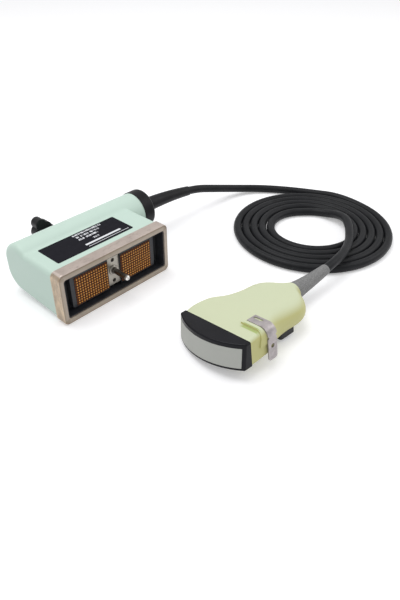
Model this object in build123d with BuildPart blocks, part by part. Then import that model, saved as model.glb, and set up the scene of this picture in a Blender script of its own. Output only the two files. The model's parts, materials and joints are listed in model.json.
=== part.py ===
from build123d import *
import math
import os

os.makedirs("parts", exist_ok=True)

# Curved-array ultrasound probe with its cable and multi-pin system connector, lying on a table.
# Millimetres. X runs along the connector, Y from its mouth back to its lock knob, Z up.
# The origin is the middle of the shroud's base face, which stands on the table.

# Metal shroud round the contacts
shroud_band = 11.0
shroud_corner = 5.0
rim_round = 1.4
lip_side = 4.5
lip_bottom = 5.4
lip_top = 5.0
mouth_corner = 2.5
sleeve_wall = 2.0
sleeve_depth = 12.0

# Black insert and its two contact blocks
contact_pitch = 2.54
contact_columns = 13
contact_rows = 10
contact_size = 1.0
contact_proud = 0.6
contact_drop = 0.9
block_gap = 14.66
block_margin = 0.7
block_depth = 5.0
block_length = 18.0
carrier_side_margin = 4.25
carrier_rim = 1.6
carrier_corner = 2.0
carrier_depth = 5.5
carrier_rise = 0.6
moat_side = 9.0
moat_level = 3.8
liner_wall = 1.0
liner_depth = 1.0
flange_depth = 11.0
flange_thickness = 6.0
fit_gap = 0.1

# Lock plate, its screws and the lock's spindle
plate_side_gap = 0.53
plate_end_gap = 1.0
plate_thickness = 1.5
plate_depth = 7.0
screw_offset_low = 10.5
screw_offset_high = 10.1
screw_radius = 1.0
screw_head_radius = 1.9
screw_sink_angle = 90
screw_length = 7.0
screw_slot = 0.5
spindle_rise = 1.0
spindle_radius = 2.5
spindle_reach = 12.8
spindle_tip_radius = 2.2
spindle_tip_length = 2.6
spindle_tip_round = 1.1
spindle_neck = 0.5
spindle_dimple = 0.9
spindle_shoulder = 0.5
journal_radius = 3.0
running_gap = 0.05
bush_radius = 4.6
bush_proud = 1.2
bush_length = 9.0
bush_chamfer = 0.3
clip_radius = 4.3
clip_thickness = 0.9
clip_groove = 0.6
clip_opening = 3.4

# Moulded housing with its round cable tube
housing_step = 1.0
housing_top_step = 1.5
housing_base_front = 1.6
housing_side_round = 4.5
housing_wall = 3.0
rise_run = 14.0
tube_depth = 63.0
tube_radius = 18.3
tube_drop = 14.1
tube_reach = 15.7
tube_root = 8.5
belly_drop = 9.0
boss_radius = 8.0
boss_proud = 0.8
boss_inner = 3.0
rear_bush_radius = 4.4

# Contact board behind the insert
board_side_margin = 3.0
board_level_margin = 1.5
board_thickness = 1.6

# Lock knob: each wing is a few round lobes at these distances and angles from its axis
knob_gap = 0.4
knob_neck_radius = 7.0
knob_neck_length = 11.6
knob_hub_radius = 9.0
knob_lobe_reaches = (18.8, 12.6, 11.8)
knob_lobe_angles = (124, 146, 122)
knob_lobe_radii = (5.4, 7.0, 7.0)
knob_thickness = 9.6
knob_round = 1.6
knob_socket = 18.0
knob_cap_radius = 7.0
knob_cap_thickness = 1.4

# Cable collar and the strain relief on the connector
collar_radius = 18.9
collar_length = 13.5
collar_round = 3.6
collar_spigot = 6.0
collar_bore = 7.4
collar_seat = 9.8
relief_flange_radius = 9.6
relief_flange_length = 2.5
relief_root = 9.7
relief_length = 64.0
relief_drop = 5.5
relief_root_radius = 7.25
relief_tip_radius = 4.9
relief_steps = 4
clamp_bore = 4.6
clamp_length = 3.0

# Dark plate on the housing's top
label_length = 81.0
label_front_gap = 8.0
label_corner = 1.2
label_thickness = 0.3
label_x = -4.5
label_rise_gap = 1.0

# Cable and its flat coil
cable_diameter = 8.4
coil_x = 207.8
coil_depth = -58.0
coil_radius = 79.8
coil_pitch = 8.53
coil_angle = -47.34
coil_start_turn = -0.12
coil_end_turn = 4.75
coil_tuck = 3.0
coil_tuck_turn = 4.35
coil_points_per_turn = 24
lead_exit_run = 15.0
lead_coil_run = 21.6
tail_coil_run = 12.0
tail_probe_run = 14.0
arc_share = 0.45

# Middle of the cable between the connector and the coil
lead_places = (
    (188.0, 53.8, 18.0),
    (209.0, 51.7, 10.3),
    (229.0, 45.5, 5.4),
    (245.0, 34.5, 4.3),
    (258.0, 18.5, 4.2),
    (270.0, -1.5, 4.2),
    (281.0, -23.5, 4.2),
)

# Middle of the cable over the coil: distance from the coil's middle, angle round it, height
tail_places = (
    (38.2, 4.0, 5.6),
    (37.6, -18.0, 10.5),
    (37.0, -41.0, 15.5),
    (38.0, -63.0, 18.5),
    (42.5, -83.0, 18.5),
    (50.0, -98.5, 18.5),
    (60.0, -111.5, 18.5),
    (72.0, -122.0, 18.5),
)

# Probe: where it lies, and how it leans
probe_x = 0.5
probe_depth = -113.6
probe_z = 4.95
probe_turn = -4.3
probe_lean = -8.2

# Probe body: its sections as shares of its length, half width and height
body_length = 89.5
body_half_width = 35.5
body_height = 21.9
body_place_shares = (0, 0.05, 0.12, 0.2, 0.28, 0.37, 0.46, 0.56, 0.66, 0.76, 0.84, 0.9, 0.95, 1)
body_half_shares = (
    (1, 1.002, 1.003, 1.002, 0.98, 0.871, 0.828)
    + (0.819, 0.82, 0.8, 0.704, 0.519, 0.348, 0.242)
)
body_bottom_shares = (
    (0, -0.001, -0.003, -0.015, -0.033, -0.057, -0.082)
    + (-0.091, -0.093, -0.088, -0.049, 0.015, 0.044, 0.05)
)
body_top_shares = (
    (1, 1.043, 1.089, 1.099, 1.099, 1.082, 1.048)
    + (1.001, 0.953, 0.932, 0.902, 0.876, 0.856, 0.842)
)
body_round_shares = (
    (0.15, 0.163, 0.2, 0.26, 0.33, 0.41, 0.48)
    + (0.525, 0.559, 0.548, 0.504, 0.442, 0.407, 0.394)
)
body_round_limit_share = 0.98
body_hollow_steps = 12
body_wall = 2.4
post_radius = 2.6
post_spacing = 22.0
post_spread = 26.0
post_place = 26.0

# Probe nose with its curved array
nose_cheek = 7.8
nose_reach = 19.0
nose_lean = 8.0
nose_corner = 1.8
straight_share = 0.001
nose_round = 1.3
lens_frame_low = 2.6
lens_frame_high = 3.4
lens_end_margin = 2.3
lens_thickness = 1.6
lens_proud = 0.3
array_frame = 2.2
array_end_margin = 6.2
array_thickness = 6.0
flex_width = 34.0
flex_thickness = 1.2
flex_length = 58.0

# Guide bracket and the moulded ridge and seat that hold it
ridge_front = 8.5
ridge_slope = 3.0
ridge_gap = 0.6
ridge_rise = 1.1
ridge_length = 21.5
ridge_depth = 12.0
seat_rise = 2.4
seat_margin = 0.8
seat_proud = 1.1
bracket_front = 15.8
bracket_width = 9.4
bracket_thickness = 1.2
bracket_reach = 19.6
bracket_bend = 6.0
bracket_leg = 27.6
bracket_slot_length = 9.0
bracket_slot_width = 2.4
bracket_slot_offset = 7.0
bracket_hole_radius = 1.8
bracket_hole_drop = 15.3
bracket_notch = 1.1
bracket_notch_drop = 6.2
bracket_foot_round = 2.6

# Rubber foot under the handle
foot_start = 44.0
foot_length = 17.0
foot_width = 16.0
foot_margin = 10.5
foot_drop = 4.8
foot_round = 2.0

# Strain relief on the probe
handle_relief_length = 45.1
handle_relief_base = 7.5
handle_relief_flare = 0.9
handle_relief_tip = 4.8
handle_relief_rise = 2.7
handle_relief_steps = 5
handle_grommet_radius = 6.0
handle_grommet_length = 9.5

# One overrun serves all cuts
overrun = 5.0

# Places that follow from the sizes above
rim_y = -shroud_band / 2
tube_y = rim_y + tube_depth
coil_y = rim_y + coil_depth
cable_radius = cable_diameter / 2
block_width = contact_columns * contact_pitch + 2 * block_margin
block_height = contact_rows * contact_pitch + 2 * block_margin
block_x = block_gap / 2 + block_width / 2
carrier_width = 2 * block_x + block_width + 2 * carrier_side_margin
carrier_height = block_height + 2 * carrier_rim
mouth_width = carrier_width + 2 * moat_side
mouth_height = carrier_height + 2 * moat_level
mouth_z = lip_bottom + mouth_height / 2
contact_z = mouth_z - contact_drop
carrier_z = contact_z + carrier_rise
spindle_z = contact_z + spindle_rise
plate_width = block_gap - 2 * plate_side_gap
plate_height = carrier_height - 2 * plate_end_gap
board_width = carrier_width + 2 * board_side_margin
board_height = carrier_height + 2 * board_level_margin
shroud_width = mouth_width + 2 * lip_side
shroud_height = lip_bottom + mouth_height + lip_top
housing_width = shroud_width - 2 * housing_step
housing_top = shroud_height - housing_top_step
rise_depth = tube_depth - rise_run
tube_z = housing_top - tube_drop
tube_end = housing_width / 2 + tube_reach
tube_start = housing_width / 2 - tube_root
belly_z = tube_z - belly_drop
label_width = rise_depth - label_rise_gap - label_front_gap - shroud_band
label_depth = shroud_band + label_front_gap + label_width / 2
board_depth = block_depth + block_length
shoulder_depth = plate_depth - bush_proud - spindle_shoulder
groove_depth = plate_depth - bush_proud + bush_length + running_gap
boss_depth = tube_depth + tube_radius - housing_wall - boss_inner
boss_length = boss_inner + housing_wall + boss_proud
knob_front_depth = boss_depth + boss_length + knob_gap
knob_body_depth = knob_front_depth + knob_neck_length
knob_back_depth = knob_body_depth + knob_thickness
collar_end = tube_end + collar_length
spindle_axis = Axis((0, 0, spindle_z), (0, 1, 0))
middle_rise = body_height / 2
lean_slope = math.tan(math.radians(nose_lean))
lean_share = math.cos(math.radians(nose_lean))
flex_rise = middle_rise - flex_thickness / 2
lens_height = body_height - lens_frame_low - lens_frame_high
lens_half_chord = body_half_width - lens_end_margin
array_height = lens_height - 2 * array_frame
array_half_chord = lens_half_chord - array_end_margin
array_rise = lens_frame_low + array_frame
handle_relief_z = body_height * (body_bottom_shares[-1] + body_top_shares[-1]) / 2
seat_side = body_half_width + seat_proud
seat_top = body_height + seat_rise
ridge_top = seat_top + ridge_rise
ridge_back = bracket_front - ridge_gap
ridge_inner = seat_side - ridge_length
ridge_root = seat_top - ridge_depth
bracket_inner = seat_side - bracket_reach


def across(depth):
    # Plane across the connector, this far behind the shroud's rim, facing out of its mouth
    return Plane.XZ.offset(-(rim_y + depth))


def along_y(height):
    # Upright plane whose local X runs back from the shroud's rim and whose origin is this high
    return Plane(origin=(0, rim_y, height), x_dir=(0, 1, 0), z_dir=(1, 0, 0))


def save(piece, name):
    piece.part.label = name
    export_step(piece.part, "parts/" + name + ".step")


# Metal shroud: a band in front of the housing and a sleeve that enters it
with BuildPart() as contact_shroud:
    with BuildSketch(across(0)):
        with Locations((0, shroud_height / 2)):
            RectangleRounded(shroud_width, shroud_height, shroud_corner)
    extrude(amount=-shroud_band)
    fillet(contact_shroud.edges().group_by(Axis.Y)[0], rim_round)
    with BuildSketch(across(shroud_band)):
        with Locations((0, mouth_z)):
            RectangleRounded(
                mouth_width + 2 * sleeve_wall,
                mouth_height + 2 * sleeve_wall,
                mouth_corner + sleeve_wall,
            )
    extrude(amount=-sleeve_depth)
    with BuildSketch(across(-overrun)):
        with Locations((0, mouth_z)):
            RectangleRounded(mouth_width, mouth_height, mouth_corner)
    extrude(amount=-(overrun + shroud_band + sleeve_depth + overrun), mode=Mode.SUBTRACT)
save(contact_shroud, "contact_shroud")


# Black insert: a liner inside the mouth, a flange that closes it, and a plug that stands in it
with BuildPart() as insert_carrier:
    with BuildSketch(across(flange_depth)):
        with Locations((0, mouth_z)):
            RectangleRounded(mouth_width - 2 * fit_gap, mouth_height - 2 * fit_gap, mouth_corner)
    extrude(amount=-flange_thickness)
    with BuildSketch(across(liner_depth)):
        with Locations((0, mouth_z)):
            RectangleRounded(mouth_width - 2 * fit_gap, mouth_height - 2 * fit_gap, mouth_corner)
            RectangleRounded(
                mouth_width - 2 * (fit_gap + liner_wall),
                mouth_height - 2 * (fit_gap + liner_wall),
                mouth_corner - liner_wall,
                mode=Mode.SUBTRACT,
            )
    extrude(amount=-(flange_depth - liner_depth))
    with BuildSketch(across(carrier_depth)):
        with Locations((0, carrier_z)):
            RectangleRounded(carrier_width, carrier_height, carrier_corner)
    extrude(amount=-(board_depth - carrier_depth))
    with BuildSketch(across(0)):
        with Locations((-block_x, contact_z), (block_x, contact_z)):
            Rectangle(block_width + 2 * fit_gap, block_height + 2 * fit_gap)
    extrude(amount=-(board_depth + overrun), mode=Mode.SUBTRACT)
    with BuildSketch(across(0)):
        with Locations((0, carrier_z)):
            Rectangle(plate_width + 2 * fit_gap, carrier_height + overrun)
    extrude(amount=-(plate_depth + plate_thickness), mode=Mode.SUBTRACT)
    with BuildSketch(across(0)):
        with Locations((0, spindle_z)):
            Circle(bush_radius)
        with Locations((0, spindle_z - screw_offset_low), (0, spindle_z + screw_offset_high)):
            Circle(screw_radius)
    extrude(amount=-(board_depth + overrun), mode=Mode.SUBTRACT)
save(insert_carrier, "insert_carrier")


# Contact blocks: amber bodies with a square tip for each contact
for side, block_name in ((-1, "contact_block_left"), (1, "contact_block_right")):
    with BuildPart() as contact_block:
        with BuildSketch(across(block_depth)):
            with Locations((side * block_x, contact_z)):
                Rectangle(block_width, block_height)
        extrude(amount=-block_length)
        with BuildSketch(across(block_depth)):
            with Locations((side * block_x, contact_z)):
                with GridLocations(contact_pitch, contact_pitch, contact_columns, contact_rows):
                    Rectangle(contact_size, contact_size)
        extrude(amount=contact_proud)
    save(contact_block, block_name)


# Contact board that closes the back of the insert, with room for the spindle
with BuildPart() as contact_board:
    with BuildSketch(across(board_depth)):
        with Locations((0, carrier_z)):
            Rectangle(board_width, board_height)
        with Locations((0, spindle_z)):
            Circle(bush_radius + fit_gap, mode=Mode.SUBTRACT)
    extrude(amount=-board_thickness)
save(contact_board, "contact_board")


# Steel lock plate between the blocks, countersunk for its two screws
with BuildPart() as latch_plate:
    with BuildSketch(across(plate_depth)):
        with Locations((0, carrier_z)):
            Rectangle(plate_width, plate_height)
        with Locations((0, spindle_z)):
            Circle(bush_radius, mode=Mode.SUBTRACT)
    extrude(amount=-plate_thickness)
    with Locations(across(plate_depth)):
        with Locations((0, spindle_z - screw_offset_low), (0, spindle_z + screw_offset_high)):
            CounterSinkHole(
                screw_radius, screw_head_radius, plate_thickness, counter_sink_angle=screw_sink_angle
            )
save(latch_plate, "latch_plate")


# The plate's two countersunk screws, with a slot across each head
screw_head_height = (screw_head_radius - screw_radius) / math.tan(math.radians(screw_sink_angle / 2))
with BuildPart() as plate_screws:
    for screw_z in (spindle_z - screw_offset_low, spindle_z + screw_offset_high):
        with BuildSketch(along_y(screw_z)):
            with BuildLine():
                Polyline(
                    (plate_depth, 0),
                    (plate_depth, screw_head_radius - running_gap),
                    (plate_depth + screw_head_height, screw_radius - running_gap),
                    (plate_depth + screw_length, screw_radius - running_gap),
                    (plate_depth + screw_length, 0),
                    close=True,
                )
            make_face()
        revolve(axis=Axis((0, 0, screw_z), (0, 1, 0)))
        with BuildSketch(across(plate_depth)):
            with Locations((0, screw_z)):
                Rectangle(screw_head_radius * 2, screw_slot)
        extrude(amount=-screw_slot, mode=Mode.SUBTRACT)
save(plate_screws, "plate_screws")


# Front bush of the lock, standing a little proud of the plate
with BuildPart() as spindle_bush:
    with BuildSketch(across(plate_depth - bush_proud)):
        with Locations((0, spindle_z)):
            Circle(bush_radius - running_gap)
            Circle(journal_radius + running_gap, mode=Mode.SUBTRACT)
    extrude(amount=-bush_length)
    chamfer(spindle_bush.edges().group_by(Axis.Y)[0], bush_chamfer)
save(spindle_bush, "spindle_bush")


# Spindle: from its bright tip in front of the mouth, over a shoulder, to its end inside the knob
with BuildPart() as spindle:
    with BuildSketch(along_y(spindle_z)):
        with BuildLine():
            Polyline(
                (-spindle_reach, 0),
                (-spindle_reach, spindle_tip_radius - spindle_tip_round),
                (-spindle_reach + spindle_tip_round, spindle_tip_radius),
                (-spindle_reach + spindle_tip_length - spindle_tip_round, spindle_tip_radius),
                (-spindle_reach + spindle_tip_length, spindle_radius - spindle_neck),
                (-spindle_reach + spindle_tip_length, spindle_radius),
                (shoulder_depth, spindle_radius),
                (shoulder_depth, journal_radius),
                (groove_depth, journal_radius),
                (groove_depth, journal_radius - clip_groove),
                (groove_depth + clip_thickness, journal_radius - clip_groove),
                (groove_depth + clip_thickness, journal_radius),
                (knob_front_depth + knob_socket, journal_radius),
                (knob_front_depth + knob_socket, 0),
                close=True,
            )
        make_face()
    revolve(axis=spindle_axis)
    with BuildSketch(across(-spindle_reach)):
        with Locations((0, spindle_z)):
            Circle(spindle_dimple)
    extrude(amount=-spindle_dimple, mode=Mode.SUBTRACT)
save(spindle, "spindle")


# Open retaining clip in the spindle's groove, behind the front bush
with BuildPart() as spindle_clip:
    with BuildSketch(across(groove_depth)):
        with Locations((0, spindle_z)):
            Circle(clip_radius)
            Circle(journal_radius - clip_groove, mode=Mode.SUBTRACT)
        with Locations((0, spindle_z - clip_radius)):
            Rectangle(clip_opening, clip_radius * 2, mode=Mode.SUBTRACT)
    extrude(amount=-clip_thickness)
save(spindle_clip, "spindle_clip")


# Moulded housing: one section drawn across the connector, a round tube for the cable, hollow inside
def housing_outline():
    # Flat top, soft rise to the tube's height, round back, and a base that runs up to the lower round
    front_y = rim_y + shroud_band
    level = tube_y - front_y
    climb = belly_z - housing_base_front
    away = math.hypot(level, climb)
    slope = math.atan2(climb, level) - math.asin(tube_radius / away)
    run = math.sqrt(away**2 - tube_radius**2)
    touch = (front_y + run * math.cos(slope), housing_base_front + run * math.sin(slope))
    rise_run = tube_depth - rise_depth
    rise_height = housing_top - tube_z
    rise_radius = (rise_run**2 + rise_height**2 - tube_radius**2) / (2 * (tube_radius - rise_height))
    reach_share = tube_radius / (tube_radius + rise_radius)
    crest = (tube_y - rise_run * reach_share, tube_z + (rise_height + rise_radius) * reach_share)
    with BuildLine() as outline:
        Line((front_y, housing_base_front), (front_y, housing_top))
        Line((front_y, housing_top), (rim_y + rise_depth, housing_top))
        RadiusArc((rim_y + rise_depth, housing_top), crest, -rise_radius)
        RadiusArc(crest, (tube_y + tube_radius, tube_z), tube_radius)
        Line((tube_y + tube_radius, tube_z), (tube_y + tube_radius, belly_z))
        RadiusArc((tube_y + tube_radius, belly_z), touch, tube_radius)
        Line(touch, (front_y, housing_base_front))
    return outline.line


def housing_section(inset):
    with BuildSketch(Plane.YZ.offset(inset - housing_width / 2)) as section:
        with BuildLine():
            add(housing_outline())
        make_face()
        if inset:
            offset(amount=-inset, mode=Mode.REPLACE)
    return section.sketch


# Hollow of the housing, which leaves a boss inside its back for the lock's bush
with BuildPart() as housing_hollow:
    extrude(housing_section(housing_wall), amount=housing_width - 2 * housing_wall)
    with BuildSketch(Plane.YZ.offset(tube_start)):
        with Locations((tube_y, tube_z)):
            Circle(tube_radius - housing_wall)
    extrude(amount=tube_end - tube_start + overrun)
    with BuildSketch(across(boss_depth)):
        with Locations((0, spindle_z)):
            Circle(boss_radius)
    extrude(amount=-(boss_length + overrun), mode=Mode.SUBTRACT)

with BuildPart() as connector_housing:
    extrude(housing_section(0), amount=housing_width)
    end_edges = connector_housing.faces().filter_by(Axis.X).edges()
    fillet(
        end_edges.filter_by(lambda edge: edge.center().Y > rim_y + shroud_band + fit_gap),
        housing_side_round,
    )
    with BuildSketch(Plane.YZ.offset(tube_start)):
        with Locations((tube_y, tube_z)):
            Circle(tube_radius)
    extrude(amount=tube_end - tube_start)
    with BuildSketch(across(tube_depth)):
        with Locations((0, spindle_z)):
            Circle(boss_radius)
    extrude(amount=-(tube_radius + boss_proud))
    add(housing_hollow.part, mode=Mode.SUBTRACT)
    with BuildSketch(across(tube_depth)):
        with Locations((0, spindle_z)):
            Circle(rear_bush_radius)
    extrude(amount=-(tube_radius + overrun), mode=Mode.SUBTRACT)
    with BuildSketch(across(shroud_band)):
        with Locations((0, mouth_z)):
            RectangleRounded(
                mouth_width + 2 * (sleeve_wall + fit_gap),
                mouth_height + 2 * (sleeve_wall + fit_gap),
                mouth_corner + sleeve_wall,
            )
    extrude(amount=-(sleeve_depth + fit_gap), mode=Mode.SUBTRACT)
save(connector_housing, "connector_housing")


# Rear bush of the lock, in the boss on the housing's round back
with BuildPart() as rear_bush:
    with BuildSketch(across(boss_depth)):
        with Locations((0, spindle_z)):
            Circle(rear_bush_radius - running_gap)
            Circle(journal_radius + running_gap, mode=Mode.SUBTRACT)
    extrude(amount=-boss_length)
save(rear_bush, "rear_bush")


# Winged lock knob: a neck at the boss, two lobed wings, and a socket pressed on the spindle's end
with BuildPart() as lock_knob:
    with BuildSketch(across(knob_body_depth)):
        with Locations((0, spindle_z)):
            Circle(knob_hub_radius)
        for reach, angle, radius in zip(knob_lobe_reaches, knob_lobe_angles, knob_lobe_radii):
            with Locations((0, spindle_z)):
                with PolarLocations(reach, 2, start_angle=angle):
                    Circle(radius)
    extrude(amount=-knob_thickness)
    fillet(lock_knob.faces().sort_by(Axis.Y)[-1].edges(), knob_round)
    with BuildSketch(across(knob_front_depth)):
        with Locations((0, spindle_z)):
            Circle(knob_neck_radius)
    extrude(amount=-(knob_neck_length + knob_round))
    with BuildSketch(across(knob_front_depth)):
        with Locations((0, spindle_z)):
            Circle(journal_radius + running_gap)
    extrude(amount=-(knob_socket + running_gap), mode=Mode.SUBTRACT)
    with BuildSketch(across(knob_back_depth)):
        with Locations((0, spindle_z)):
            Circle(knob_cap_radius + running_gap)
    extrude(amount=knob_cap_thickness, mode=Mode.SUBTRACT)
save(lock_knob, "lock_knob")


# Round cap that closes the knob's back
with BuildPart() as knob_cap:
    with BuildSketch(across(knob_back_depth)):
        with Locations((0, spindle_z)):
            Circle(knob_cap_radius)
    extrude(amount=knob_cap_thickness)
    chamfer(knob_cap.edges().group_by(Axis.Y)[-1], bush_chamfer)
save(knob_cap, "knob_cap")


def along_tube():
    # Upright plane along the cable tube: local X is the part's X and local Y the distance from its axis
    return Plane(origin=(0, tube_y, tube_z), x_dir=(1, 0, 0), z_dir=(0, -1, 0))


def tube_profile(*profile):
    # Closed profile of (place along X, distance from the cable tube's axis) points
    with BuildSketch(along_tube()) as section:
        with BuildLine():
            Polyline(*profile, close=True)
        make_face()
    return section.sketch


tube_axis = Axis((0, tube_y, tube_z), (1, 0, 0))


# Black collar plugged into the tube's end, with a seat for the strain relief's flange
relief_seat_end = collar_end - relief_root
with BuildPart() as cable_collar:
    collar_profile = tube_profile(
        (tube_end - collar_spigot, collar_seat),
        (tube_end - collar_spigot, tube_radius - housing_wall - fit_gap),
        (tube_end, tube_radius - housing_wall - fit_gap),
        (tube_end, collar_radius),
        (collar_end, collar_radius),
        (collar_end, collar_bore),
        (relief_seat_end, collar_bore),
        (relief_seat_end, collar_seat),
    )
    revolve(collar_profile, axis=tube_axis)
    fillet(cable_collar.edges().group_by(Axis.X)[-1].sort_by(SortBy.LENGTH)[-1], collar_round)
save(cable_collar, "cable_collar")


# Ring behind the flange that grips the cable's jacket
relief_flange_start = relief_seat_end - relief_flange_length
with BuildPart() as clamp_ring:
    clamp_profile = tube_profile(
        (relief_flange_start - clamp_length, clamp_bore),
        (relief_flange_start - clamp_length, relief_flange_radius),
        (relief_flange_start, relief_flange_radius),
        (relief_flange_start, clamp_bore),
    )
    revolve(clamp_profile, axis=tube_axis)
save(clamp_ring, "clamp_ring")


# Tapered strain relief, bending down a little towards its tip
with BuildPart() as connector_strain_relief:
    flange_profile = tube_profile(
        (relief_flange_start, 0),
        (relief_flange_start, relief_flange_radius),
        (relief_seat_end, relief_flange_radius),
        (relief_seat_end, relief_root_radius),
        (collar_end, relief_root_radius),
        (collar_end, 0),
    )
    revolve(flange_profile, axis=tube_axis)
    for step in range(relief_steps + 1):
        share = step / relief_steps
        with BuildSketch(
            Plane(
                origin=(
                    collar_end + relief_length * share,
                    tube_y,
                    tube_z - relief_drop * share**2,
                ),
                x_dir=(0, 1, 0),
                z_dir=(relief_length, 0, -2 * relief_drop * share),
            )
        ):
            Circle(relief_root_radius + (relief_tip_radius - relief_root_radius) * share)
    loft()
save(connector_strain_relief, "connector_strain_relief")


# Dark plate stuck on the housing's flat top
with BuildPart() as label_plate:
    with BuildSketch(Plane.XY.offset(housing_top)):
        with Locations((label_x, rim_y + label_depth)):
            RectangleRounded(label_length, label_width, label_corner)
    extrude(amount=label_thickness)
save(label_plate, "label_plate")


def spiral_radius(turns):
    # The spiral closes in steadily, and its last stretch is tucked a little further in
    tuck = max(0, (turns - coil_tuck_turn) / (coil_end_turn - coil_tuck_turn))
    return coil_radius - coil_pitch * turns - coil_tuck * tuck**2


def spiral_angle(turns):
    return math.radians(coil_angle) - math.tau * turns


def round_coil(radius, angle):
    return (coil_x + radius * math.cos(angle), coil_y + radius * math.sin(angle))


def spiral_side(first_turn, side):
    # One full turn of the spiral's outer (1) or inner (-1) side, closed by a straight radial step
    places = [
        round_coil(spiral_radius(turns) + side * cable_radius, spiral_angle(turns))
        for turns in (
            first_turn + step / coil_points_per_turn for step in range(coil_points_per_turn + 1)
        )
    ]
    with BuildLine() as loop:
        Spline(*places)
        Line(places[-1], places[0])
    return loop.line


# Flat coil of the cable, as one solid between the outermost and the innermost turn
with BuildPart() as cable_coil:
    with BuildSketch():
        with BuildLine():
            add(spiral_side(coil_start_turn, 1))
        make_face()
        with BuildLine():
            add(spiral_side(coil_end_turn - 1, -1))
        make_face(mode=Mode.SUBTRACT)
    extrude(amount=cable_diameter)
save(cable_coil, "cable_coil")


def coil_end_and_heading(turns):
    # Middle of the cable at this turn of the coil, and the level direction in which it is wound
    angle = spiral_angle(turns)
    place = Vector(*round_coil(spiral_radius(turns), angle), cable_radius)
    return place, Vector(math.sin(angle), -math.cos(angle), 0)


def cable_along(points, name):
    # Cable on straight runs joined by arcs as large as their two runs allow
    runs = [after - before for before, after in zip(points, points[1:])]
    turns = [math.radians(before.get_angle(after)) for before, after in zip(runs, runs[1:])]
    radii = [
        arc_share * min(before.length, after.length) / math.tan(turn / 2)
        for before, after, turn in zip(runs, runs[1:], turns)
    ]
    with BuildPart() as cable:
        with BuildLine() as route:
            FilletPolyline(*points, radius=radii)
        with BuildSketch(Plane(origin=points[0], z_dir=runs[0])):
            Circle(cable_radius)
        sweep(path=route.line)
    length = sum(edge.length for edge in route.edges())
    swept = math.pi * cable_radius**2 * length
    print(name, "radii", [round(radius, 1) for radius in radii], "length", length)
    print(name, "volume", cable.part.volume, "section times length", swept)
    return cable


# Cable from the connector's strain relief, down to the table and into the coil's outer turn
relief_tip = Vector(collar_end + relief_length, tube_y, tube_z - relief_drop)
relief_heading = Vector(relief_length, 0, -2 * relief_drop).normalized()
coil_start, start_heading = coil_end_and_heading(coil_start_turn)
lead_points = [
    relief_tip,
    relief_tip + relief_heading * lead_exit_run,
    *(Vector(*place) for place in lead_places),
    coil_start - start_heading * lead_coil_run,
    coil_start,
]
save(cable_along(lead_points, "cable_lead"), "cable_lead")


# Probe frame: X back along the handle, Y to its far side, Z up through its thickness
turn_angle = math.radians(probe_turn)
lean_angle = math.radians(probe_lean)
probe_plane = Plane(
    origin=(probe_x, rim_y + probe_depth, probe_z),
    x_dir=(math.cos(turn_angle), math.sin(turn_angle), 0),
    z_dir=(
        math.sin(turn_angle) * math.sin(lean_angle),
        -math.cos(turn_angle) * math.sin(lean_angle),
        math.cos(lean_angle),
    ),
)


probe_back = Axis(probe_plane.origin, probe_plane.x_dir)
probe_far = Axis(probe_plane.origin, probe_plane.y_dir)
probe_up = Axis(probe_plane.origin, probe_plane.z_dir)
nose_up = (probe_plane.z_dir + probe_plane.x_dir * lean_slope).normalized()


def across_probe(place):
    # Plane across the probe at this place along it: local X to its far side, local Y up
    return Plane(
        origin=probe_plane.from_local_coords((place, 0, 0)),
        x_dir=probe_plane.y_dir,
        z_dir=probe_plane.x_dir,
    )


def along_probe(reach):
    # Upright plane along the probe, this far to its near side: local X back, local Y up
    return Plane(
        origin=probe_plane.from_local_coords((0, -reach, 0)),
        x_dir=probe_plane.x_dir,
        z_dir=-probe_plane.y_dir,
    )


def level_probe(rise):
    # Plane parallel to the probe's flat side, this far up through it
    return probe_plane.offset(rise)


# Cable from inside the coil, over its turns and down to the probe
relief_end = body_length + handle_relief_length
handle_tip = probe_plane.from_local_coords((relief_end, 0, handle_relief_z + handle_relief_rise))
handle_heading = (
    probe_plane.x_dir * handle_relief_length + probe_plane.z_dir * (2 * handle_relief_rise)
).normalized()
coil_end, end_heading = coil_end_and_heading(coil_end_turn)
tail_points = [
    coil_end,
    coil_end + end_heading * tail_coil_run,
    *(
        Vector(*round_coil(radius, math.radians(angle)), height)
        for radius, angle, height in tail_places
    ),
    handle_tip + handle_heading * tail_probe_run,
    handle_tip,
]
save(cable_along(tail_points, "cable_tail"), "cable_tail")


def body_loft(steps, inset):
    # Loft through the first sections of the probe's body, all drawn in by the inset
    with BuildPart() as form:
        for step in range(steps):
            low = body_bottom_shares[step] * body_height
            high = body_top_shares[step] * body_height
            width = 2 * (body_half_shares[step] * body_half_width - inset)
            height = high - low - 2 * inset
            corner = body_round_shares[step] * body_height - inset
            limit = body_round_limit_share * min(width, height) / 2
            with BuildSketch(across_probe(body_place_shares[step] * body_length)):
                with Locations((0, (high + low) / 2)):
                    RectangleRounded(width, height, min(corner, limit))
        loft()
    return form.part


# Ridge and flat seat for the guide bracket, with the bracket's bend along their outer edges
with BuildPart() as bracket_seat:
    seat_back = bracket_front + bracket_width + seat_margin
    for back, top in ((seat_back, seat_top), (ridge_back, ridge_top)):
        with BuildSketch(across_probe(ridge_front)) as seat_section:
            with Locations((-(seat_side + ridge_inner) / 2, (top + ridge_root) / 2)):
                Rectangle(seat_side - ridge_inner, top - ridge_root)
            outer_corner = seat_section.vertices().group_by(Axis.Y)[-1].sort_by(Axis.X)[0]
            fillet(outer_corner, bracket_bend + top - seat_top)
        extrude(amount=back - ridge_front)
    with BuildSketch(along_probe(seat_side + overrun)):
        with BuildLine():
            Polyline(
                (ridge_front, ridge_root),
                (ridge_front, ridge_top),
                (ridge_front + ridge_slope, ridge_top),
                close=True,
            )
        make_face()
    extrude(amount=-(seat_side + overrun), mode=Mode.SUBTRACT)

# Whole form of the probe's body
with BuildPart() as body_form:
    add(body_loft(len(body_place_shares), 0))
    add(bracket_seat.part)


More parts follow.
